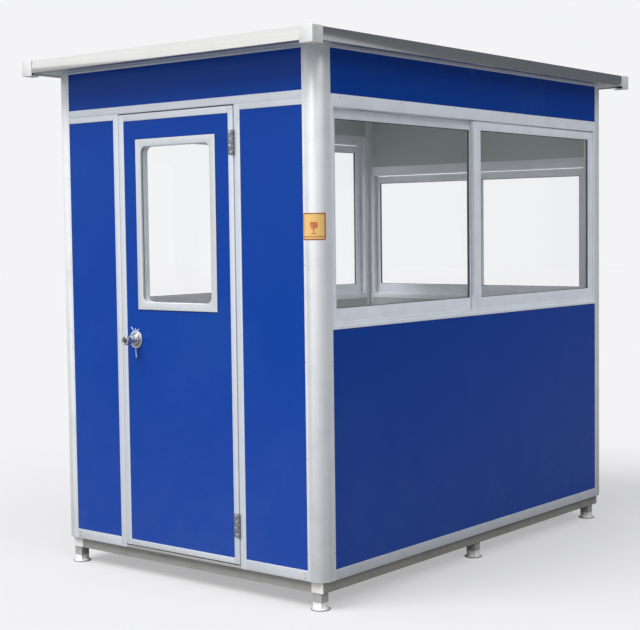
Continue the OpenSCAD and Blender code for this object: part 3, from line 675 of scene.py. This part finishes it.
def ribbon(bm, spots, width, thick):
    """A stiff flat strip along points on the front wall."""
    rows = []
    for i, place in enumerate(spots):
        along = (spots[min(i + 1, len(spots) - 1)] - spots[max(i - 1, 0)]).normalized()
        across = Vector((0, 1, 0)).cross(along).normalized() * width / 2
        deep = Vector((0, thick, 0))
        rows.append([bm.verts.new(place + offset) for offset in
                     (across, -across, -across - deep, across - deep)])
    skin_rows(bm, rows, capped=True)


bm = bmesh.new()  # moulded tag left on the lock: a band over the rose, two ears and a stiff tail
tag_face = Vector((LOCK.x, LOCK.y - LEAF_HALF - 0.0003, LOCK.z))
band_r = ROSE_R + 0.0012
turns = [math.radians(150 - 10 * i) for i in range(13)]
ribbon(bm, [tag_face + Vector((band_r * math.cos(a), 0, band_r * math.sin(a))) for a in turns],
       0.0026, 0.0022)
for x0, z0, x1, z1 in ((-0.012, 0.037, -0.030, 0.056), (0.002, 0.038, -0.004, 0.050),
                       (0.006, 0.038, 0.018, 0.047), (-0.003, -0.036, -0.001, -0.078)):
    near, far = tag_face + Vector((x0, 0, z0)), tag_face + Vector((x1, 0, z1))
    ribbon(bm, [near.lerp(far, step / 4) for step in range(5)], 0.0034, 0.0020)
make_piece("lock_tag", bm, nylon, "door")

# ---------------------------------------------------------------- gaskets and seals
BEAD_W, BEAD_LAP, BEAD_PROUD = 0.0026, 0.0015, 0.003
BEAD_GAP = 0.0001  # between a bead and its pane
for side, name in WINDOW_WALLS:  # beads round every pane on both its faces
    bm = bmesh.new()
    for low, high in solid_boxes(side, name + "_window_glass"):
        sight = (low.x + GLASS_GRIP, high.x - GLASS_GRIP, low.z + GLASS_GRIP, high.z - GLASS_GRIP)
        for d0, d1 in ((low.y - BEAD_PROUD, low.y - BEAD_GAP),
                       (high.y + BEAD_GAP, high.y + BEAD_PROUD)):
            loop_ring(bm, rectangle(*sight, BEAD_LAP), rectangle(*sight, -BEAD_W), d0, d1,
                      wall(side))
    make_piece(name + "_glazing_beads", bm, gasket_grey, "cabin", 0.5)

bm = bmesh.new()  # pale strip that closes the gap on the lock side; it rides on the leaf
block(bm, (DOOR_LOW.x - 0.0040, DOOR_LOW.y + 0.0015, DOOR_LOW.z + 0.004),
      (DOOR_LOW.x + 0.0006, DOOR_LOW.y + 0.0070, DOOR_HIGH.z - 0.004))
make_piece("door_lock_side_seal", bm, pale_seal, "door", 0.8, 2)

bm = bmesh.new()  # brush under the leaf, clear of the threshold
block(bm, (DOOR_LOW.x + 0.004, DOOR_LOW.y + 0.014, DOOR_LOW.z - 0.0028),
      (DOOR_HIGH.x - 0.004, DOOR_LOW.y + 0.020, DOOR_LOW.z + 0.0006))
make_piece("door_bottom_brush", bm, rubber, "door", 0.6, 2)

bm = bmesh.new()  # seals round the lips of the window trim
lip = (TRIM_LOW.x, TRIM_HIGH.x, TRIM_LOW.z, TRIM_HIGH.z)
for depth in (TRIM_LOW.y + 0.0026, TRIM_HIGH.y - 0.0042):
    loop_ring(bm, round_rectangle(*lip, 0.0012, 0.008, 4), round_rectangle(*lip, -0.001, 0.006, 4),
              depth, depth + 0.0016)
make_piece("door_window_trim_seal", bm, rubber, "door")

bm = bmesh.new()  # corner blocks at the foot and head of every meeting stile
BLOCK_T = 0.0022
block_screws = []
for side, name in WINDOW_WALLS:
    low, high = min(solid_boxes(side, name + "_window_sashes"), key=lambda box: box[0].y)
    u, step = (low.x, 1) if abs(low.x) < abs(high.x) else (high.x, -1)
    for z, rise in ((low.z, 1), (high.z, -1)):
        verts = block(bm, (u + step * 0.004, low.y - BLOCK_T, z + rise * 0.002),
                      (u + step * 0.026, low.y + 0.0004, z + rise * 0.026))
        bmesh.ops.transform(bm, matrix=wall(side), verts=verts)
        block_screws.append(spot(side, u + step * 0.015, low.y - BLOCK_T, z + rise * 0.014))
make_piece("sash_corner_blocks", bm, window_alu, "cabin", 1.0, 2)

# rubber pads under the feet, and weld beads where the feet meet the beams
FOOT_HALF = 0.022  # half of a foot's tube
stub = (-FOOT_HALF, FOOT_HALF, -FOOT_HALF, FOOT_HALF)
pads, welds = bmesh.new(), bmesh.new()
for low, high in solid_boxes(0, "feet"):
    middle = Vector(((low.x + high.x) / 2, (low.y + high.y) / 2 - HALF_L, 0))
    sole = (high.x - low.x) / 2
    profile = [(0.0, 0.0), (sole + 0.0004, 0.0), (sole + 0.0010, 0.0008), (sole + 0.0010, 0.0032),
               (sole + 0.0002, 0.0042), (sole - 0.006, 0.0044), (0.0, 0.0044)]
    lathe(pads, profile, 40, laid(middle, -90))
    loop_ring(welds, round_rectangle(*stub, 0.0022, 0.004, 3),
              round_rectangle(*stub, -0.001, 0.003, 3), 0.0, 0.0030,
              laid(middle + Vector((0, 0, high.z - 0.0028))))
make_piece("foot_pads", pads, pad_plastic, "cabin", 0.3)
make_piece("foot_welds", welds, base_steel, "cabin", 1.0, 2)

bm = bmesh.new()  # plates that close the roof corners from below
for sx, sy in ((-1, -1), (-1, 1), (1, -1), (1, 1)):
    block(bm, (sx * (CORNER_HIGH.x - 0.001), sy * (CORNER_HIGH.y - 0.001), CORNER_LOW.z + 0.0012),
          (sx * (CORNER_HIGH.x - 0.050), sy * (CORNER_HIGH.y - 0.050), CORNER_LOW.z + 0.0030))
make_piece("roof_corner_plates", bm, corner_plastic, "cabin", 0.4)

# roof: lap strips across the sheet and a bead of silicone inside the fascia
LAPS = 4
LAP_H = 0.0022
LAP_ROWS = [ROOF_LOW.y + (ROOF_HIGH.y - ROOF_LOW.y) * i / LAPS for i in range(1, LAPS)]
bm = bmesh.new()
for y in LAP_ROWS:
    for short, half, bottom, top in ((0.02, 0.014, -0.0005, LAP_H), (0.024, 0.003, 0.0018, 0.0055)):
        block(bm, (ROOF_LOW.x + short, y - half, ROOF_HIGH.z + bottom),
              (ROOF_HIGH.x - short, y + half, ROOF_HIGH.z + top))
make_piece("roof_laps", bm, roof_sheet, "cabin", 0.8, 2)
bm = bmesh.new()
roof = (ROOF_LOW.x, ROOF_HIGH.x, ROOF_LOW.y, ROOF_HIGH.y)
loop_ring(bm, rectangle(*roof, 0.0005), rectangle(*roof, -0.007), -0.003, 0.0004,
          laid((0, 0, ROOF_HIGH.z)))
make_piece("roof_edge_silicone", bm, silicone, "cabin", 1.2, 2)


# ---------------------------------------------------------------- screws and rivets
def fixing_tree():
    """Geometry nodes: one domed head with a dark drive recess at every point, facing outwards."""
    tree = bpy.data.node_groups.new("fixings", "GeometryNodeTree")
    tree.interface.new_socket("Geometry", in_out="INPUT", socket_type="NodeSocketGeometry")
    for label, value in (("Head Radius", 0.004), ("Head Height", 0.002), ("Sink", 0.0004)):
        socket = tree.interface.new_socket(label, in_out="INPUT", socket_type="NodeSocketFloat")
        socket.default_value = value
    for label in ("Steel", "Recess"):
        tree.interface.new_socket(label, in_out="INPUT", socket_type="NodeSocketMaterial")
    tree.interface.new_socket("Geometry", in_out="OUTPUT", socket_type="NodeSocketGeometry")
    entry = tree.nodes.new("NodeGroupInput").outputs
    result = tree.nodes.new("NodeGroupOutput")

    def chain(kind, *values, **named):
        """A node fed with values by place and by name; returns it with its outputs."""
        node = tree.nodes.new(kind)
        for value, socket in zip(values, node.inputs):
            feed(tree, value, socket)
        for label, value in named.items():
            feed(tree, value, node.inputs[label.replace("_", " ")])
        return node, node.outputs

    def calc(operation, a, b):
        return math_node(tree, operation, a, b)

    def cone(sides, bottom, top, depth, mat):
        mesh = chain("GeometryNodeMeshCone", Vertices=sides, Radius_Bottom=bottom,
                     Radius_Top=top, Depth=depth)[1]["Mesh"]
        place = chain("ShaderNodeCombineXYZ", Z=sink)[1][0]
        moved = chain("GeometryNodeTransform", Geometry=mesh, Translation=place)[1][0]
        return chain("GeometryNodeSetMaterial", Geometry=moved, Material=entry[mat])[1][0]

    radius, height = entry["Head Radius"], entry["Head Height"]
    sink = calc("MULTIPLY", entry["Sink"], -1.0)
    skirt = calc("MULTIPLY", height, 0.5)
    rim, dome, crown, drive = (calc("MULTIPLY", radius, part) for part in (0.97, 0.93, 0.58, 0.36))
    join = tree.nodes.new("GeometryNodeJoinGeometry")
    for part in (cone(14, radius, rim, calc("SUBTRACT", skirt, sink), "Steel"),
                 cone(14, dome, crown, height, "Steel"),
                 cone(4, drive, drive, calc("ADD", height, 0.00006), "Recess")):
        tree.links.new(part, join.inputs[0])
    facing, directions = chain("GeometryNodeInputNamedAttribute", "facing")
    facing.data_type = "FLOAT_VECTOR"
    align, aligned = chain("FunctionNodeAlignRotationToVector", Vector=directions["Attribute"])
    align.axis = "Z"
    twist, twisted = chain("FunctionNodeRandomValue", Seed=11)
    twist.data_type = "FLOAT"
    twist.inputs[3].default_value = math.pi
    spin = chain("FunctionNodeAxisAngleToRotation", Axis=(0, 0, 1), Angle=twisted[1])[1]
    turn, turned = chain("FunctionNodeRotateRotation", aligned[0], spin[0])
    turn.rotation_space = "LOCAL"
    spread = chain("GeometryNodeInstanceOnPoints", Points=entry["Geometry"],
                   Instance=join.outputs[0], Rotation=turned[0])[1]
    real = chain("GeometryNodeRealizeInstances", spread[0])[1]
    tree.links.new(real[0], result.inputs[0])
    return tree


FIXINGS = fixing_tree()


def fixings(name, body, spots, radius, height, metal=bolt_steel):
    """One mesh of heads; spots are (place, outward direction) pairs."""
    mesh = bpy.data.meshes.new(name)
    mesh.from_pydata([tuple(place) for place, _ in spots], [], [])
    facing = mesh.attributes.new("facing", "FLOAT_VECTOR", "POINT")
    for item, (_, outward) in zip(facing.data, spots):
        item.vector = outward
    obj = add_object(name, mesh)
    modifier = obj.modifiers.new("heads", "NODES")
    modifier.node_group = FIXINGS
    values = {"Head Radius": radius, "Head Height": height, "Steel": metal, "Recess": key_dark}
    for item in FIXINGS.interface.items_tree:
        if item.in_out == "INPUT" and item.name in values:
            modifier[item.identifier] = values[item.name]
    apply_modifiers(obj)
    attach(obj, body)


def spaced(start, end, pitch):
    """Evenly spaced values between two ends, near a pitch."""
    count = max(1, round((end - start) / pitch))
    return [start + (end - start) * i / count for i in range(count + 1)]


SMALL_HEAD = (0.0029, 0.0012)  # radius and height of a frame screw's head
small, large = [], []
for side in range(4):
    inset = WALL_HALF[side] - POST_LEG  # where the posts' legs end
    for sign in (-1, 1):
        for z in spaced(BASE_TOP + 0.11, WALL_TOP - 0.09, 0.39):
            small.append(spot(side, sign * (inset + 0.0055), 0, z))
        for z in (BASE_TOP + 0.013, BASE_TOP + 0.030):  # rail ends
            large.append(spot(side, sign * (inset - 0.014), 0, z))
    for u in spaced(-inset + 0.16, inset - 0.16, 0.46):
        if side or abs(u + 0.02) > 0.36:  # none in the doorway
            small.append(spot(side, u, 0, BASE_TOP + 0.022))
for side, name in WINDOW_WALLS:
    low, high = wall_box(side, name + "_window_frame")
    for u in spaced(low.x + 0.06, high.x - 0.06, 0.45):
        small.append(spot(side, u, 0, high.z - 0.009))
        small.append(spot(side, u, 0, low.z + 0.008))
for u in (HEAD_LOW.x + 0.012, HEAD_HIGH.x - 0.012):
    small.append(spot(0, u, 0, (HEAD_LOW.z + HEAD_HIGH.z) / 2))
for u in (JAMB_LOW.x + 0.010, JAMB_HIGH.x - 0.010):
    for z in spaced(BASE_TOP + 0.09, HEAD_LOW.z - 0.05, 0.45):
        small.append(spot(0, u, 0, z))
fixings("cabin_frame_screws", "cabin", small, *SMALL_HEAD)
fixings("cabin_rail_screws", "cabin", large, 0.0040, 0.0018)

spots = []  # rivets that hold the fascia and the corner caps
roof_mid = (ROOF_LOW.z + ROOF_HIGH.z) / 2
for side in range(4):
    over, along = END_FASCIA_HIGH.y - HALF_L, END_FASCIA_HIGH.x
    if side % 2:
        over, along = FASCIA_HIGH.x - HALF_W, FASCIA_HIGH.y
    for sign in (-1, 1):
        for z in (roof_mid - 0.016, roof_mid + 0.016):
            spots.append(spot(side, sign * (along - 0.018), -over - 0.002, z))
fixings("corner_cap_rivets", "cabin", spots, 0.0024, 0.0009)

spots = [(Vector((x, y - 0.0095, ROOF_HIGH.z + LAP_H)), Vector((0, 0, 1)))
         for y in LAP_ROWS for x in spaced(ROOF_LOW.x + 0.06, ROOF_HIGH.x - 0.06, 0.2)]
fixings("roof_lap_rivets", "cabin", spots, 0.0024, 0.001)

LEAF_T = 0.0025  # thickness of a hinge leaf
SHORTEST_LEAF = 0.05  # a shorter solid of the hinges is a knuckle
spots = []
for low, high in solid_boxes(0, "door_hinge_leaves"):
    if high.z - low.z < SHORTEST_LEAF:
        continue
    for i, rise in enumerate((0.11, 0.39, 0.66, 0.92)):
        u = low.x + (0.0095 if i % 2 else 0.0155)
        spots.append(spot(0, u, -LEAF_T, low.z + (high.z - low.z) * rise))
fixings("hinge_screws", "door", spots, 0.0046, 0.0016, bright_steel)

spots = []  # leaf corners, outside and inside
for u in (DOOR_LOW.x + 0.011, DOOR_HIGH.x - 0.011):
    for z in (DOOR_LOW.z + 0.013, DOOR_HIGH.z - 0.013):
        spots.append(spot(0, u, 0, z))
        spots.append(spot(0, u, DOOR_HIGH.y - DOOR_LOW.y, z, 1))
fixings("door_corner_screws", "door", spots, *SMALL_HEAD)

spots = [(lock_side(1) @ Vector((sign * 0.029, -LEAF_HALF - 0.0056, 0)), Vector((0, 1, 0)))
         for sign in (1, -1)]
fixings("rose_screws", "door", spots, 0.0028, 0.0012)
fixings("corner_block_screws", "cabin", block_screws, 0.0026, 0.0010)

# ---------------------------------------------------------------- notice on the near post
NOTICE_LOW, NOTICE_TOP = 1.469, 1.575
NOTICE_START, NOTICE_END = 0.002, 0.100  # measured along the post's skin from its front edge
NOTICE_STEPS = 28
NOTICE_T = 0.0004
POST_FLAT = POST_LEG - POST_R


def notice_sheet():
    """A thin printed sheet round the near post's corner."""
    bm = bmesh.new()
    rows = []
    for i in range(NOTICE_STEPS + 1):
        run = NOTICE_START + (NOTICE_END - NOTICE_START) * i / NOTICE_STEPS
        angle = max(0.0, run - POST_FLAT) / POST_R
        away = Vector((math.sin(angle), -math.cos(angle), 0))
        skin = Vector((HALF_W - POST_R + min(0.0, run - POST_FLAT), POST_R - HALF_L, 0))
        rows.append([bm.verts.new(skin + (POST_R + depth) * away + Vector((0, 0, z)))
                     for depth, z in ((-0.0001, NOTICE_LOW), (NOTICE_T, NOTICE_LOW),
                                      (NOTICE_T, NOTICE_TOP), (-0.0001, NOTICE_TOP))])
    skin_rows(bm, rows, capped=True)
    return bm


def make_notice_print():
    """Amber field with a dark red edge, a foot bar and a plain goblet shape."""
    mat, tree, shader = new_material("notice_print")
    place = split_axes(tree)

    def calc(operation, *values):
        return math_node(tree, operation, *values)

    def band(value, low, high):
        return calc("MULTIPLY", calc("GREATER_THAN", value, low), calc("LESS_THAN", value, high))

    def squared(value):
        return calc("POWER", calc("ABSOLUTE", value), 2.0)

    past = calc("SUBTRACT", place["X"], HALF_W - POST_R)
    deep = calc("MULTIPLY_ADD", place["Y"], -1.0, -(HALF_L - POST_R))
    turned = calc("MULTIPLY", calc("ARCTAN2", past, deep), POST_R)
    run = calc("ADD", calc("MULTIPLY", turned, calc("GREATER_THAN", past, 0.0)),
               calc("MINIMUM", past, 0.0))
    u = calc("DIVIDE", calc("ADD", run, POST_FLAT), NOTICE_END)
    v = calc("DIVIDE", calc("SUBTRACT", place["Z"], NOTICE_LOW), NOTICE_TOP - NOTICE_LOW)
    field = calc("MULTIPLY", band(u, 0.06, 0.94), band(v, 0.05, 0.955))
    bar = band(v, 0.10, 0.15)
    spread = calc("ADD", squared(calc("SUBTRACT", u, 0.5)), squared(calc("SUBTRACT", v, 0.56)))
    bowl = calc("MULTIPLY", calc("LESS_THAN", spread, 0.030), calc("LESS_THAN", v, 0.66))
    stem = calc("MULTIPLY", band(u, 0.475, 0.525), band(v, 0.25, 0.5))
    sole = calc("MULTIPLY", band(u, 0.39, 0.61), band(v, 0.22, 0.25))
    goblet = calc("MAXIMUM", bowl, calc("MAXIMUM", stem, sole))
    dark = (0.33, 0.075, 0.035)
    color = blend(tree, field, dark, (0.86, 0.54, 0.17))
    color = blend(tree, calc("MULTIPLY", bar, 0.7), color, dark)
    color = blend(tree, calc("MULTIPLY", goblet, 0.85), color, (0.52, 0.055, 0.03))
    marks = place_group(tree, SMUDGES, Scale=40.0, Amount=0.35)
    color = blend(tree, marks["Mask"], color, (0.88, 0.62, 0.30))
    feed(tree, color, shader["Base Color"])
    feed(tree, calc("MULTIPLY_ADD", marks["Mask"], 0.3, 0.35), shader["Roughness"])
    return mat


make_piece("notice", notice_sheet(), make_notice_print(), "cabin")

# ---------------------------------------------------------------- studio
BACKDROP = (0.905, 0.905, 0.921)
BLACK = (0.0, 0.0, 0.0)


def camera_or_clear(tree):
    """1 for rays that come from the camera, straight or through glass."""
    path = tree.nodes.new("ShaderNodeLightPath").outputs
    return math_node(tree, "MAXIMUM", path["Is Camera Ray"], path["Is Transmission Ray"])


def make_studio_floor(shown, glow, bounced):
    """Pale matt floor; to the camera it is shown plus a glow that thins the shadows."""
    mat, tree, shader = new_material("studio_floor")
    shader["Roughness"].default_value = 1.0
    shader["Specular IOR Level"].default_value = 0.0
    shader["Emission Strength"].default_value = 1.0
    seen = camera_or_clear(tree)
    grain = noise(tree, object_place(tree), 3.0)
    shade = math_node(tree, "MULTIPLY_ADD", grain, 0.004, 0.998)
    lit = blend(tree, shade, BLACK, shown)
    feed(tree, blend(tree, seen, bounced, lit), shader["Base Color"])
    feed(tree, blend(tree, seen, BLACK, glow), shader["Emission Color"])
    return mat


FLOOR_SHOWN = (0.618, 0.607, 0.609)  # reflects the studio's light as the backdrop's tone
FLOOR_BOUNCED = (0.26, 0.265, 0.28)  # what the booth sees of it
GLOW = 0.45
bm = bmesh.new()
bmesh.ops.create_grid(bm, x_segments=1, y_segments=1, size=40.0)
floor = new_piece("studio_floor", bm)
floor.data.materials.append(
    make_studio_floor(tone(FLOOR_SHOWN, 1 - GLOW), tone(BACKDROP, GLOW), FLOOR_BOUNCED))
floor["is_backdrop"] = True


def make_world(front_left, rear_right, overhead, toward):
    """Soft studio: bright in front, dim behind, with the backdrop's tone behind the booth."""
    world = bpy.data.worlds.new("studio")
    SCENE.world = world
    world.use_nodes = True
    tree = world.node_tree
    way = tree.nodes.new("ShaderNodeTexCoord").outputs["Generated"]
    side = tree.nodes.new("ShaderNodeVectorMath")
    side.operation = "DOT_PRODUCT"
    feed(tree, way, side.inputs[0])
    feed(tree, Vector(toward).normalized(), side.inputs[1])
    shade = blend(tree, smooth_range(tree, side.outputs["Value"], -0.6, 0.8), rear_right,
                  front_left)
    height = smooth_range(tree, split_axes(tree, way)["Z"], 0.35, 0.9)
    shade = blend(tree, height, shade, overhead)
    shade = blend(tree, camera_or_clear(tree), shade, BACKDROP)
    feed(tree, shade, tree.nodes["Background"].inputs["Color"])


make_world((0.90, 0.91, 0.92), (0.11, 0.12, 0.135), (0.62, 0.64, 0.67), (-0.5, -0.85, 0.0))


def sun(name, toward, strength, spread):
    """A soft far light that comes from the given direction."""
    light = bpy.data.lights.new(name, "SUN")
    light.energy = strength
    light.angle = math.radians(spread)
    direction = Vector(toward).to_track_quat("Z", "Y")
    add_object(name, light).rotation_euler = direction.to_euler()


sun("key", (-0.30, -0.75, 1.15), 2.7, 35)
sun("side_fill", (0.95, -0.15, 1.0), 0.9, 50)

SENSOR = 36.0
LENS = 78.76
EYE = Vector((4.1795, -5.3799, 1.5077))
YAW, PITCH, ROLL = (math.radians(a) for a in (39.03, -3.469, -0.725))
ahead = Vector((-math.sin(YAW) * math.cos(PITCH), math.cos(YAW) * math.cos(PITCH), math.sin(PITCH)))
level = Vector((math.cos(YAW), math.sin(YAW), 0))
above = level.cross(ahead)
right = math.cos(ROLL) * level + math.sin(ROLL) * above
up = -math.sin(ROLL) * level + math.cos(ROLL) * above
camera_data = bpy.data.cameras.new("camera")
camera_data.sensor_width = SENSOR
camera_data.lens = LENS
camera = add_object("camera", camera_data)
camera.matrix_world = Matrix.Translation(EYE) @ Matrix((right, up, -ahead)).transposed().to_4x4()
SCENE.camera = camera
SCENE.view_settings.view_transform = "Standard"

low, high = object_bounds()
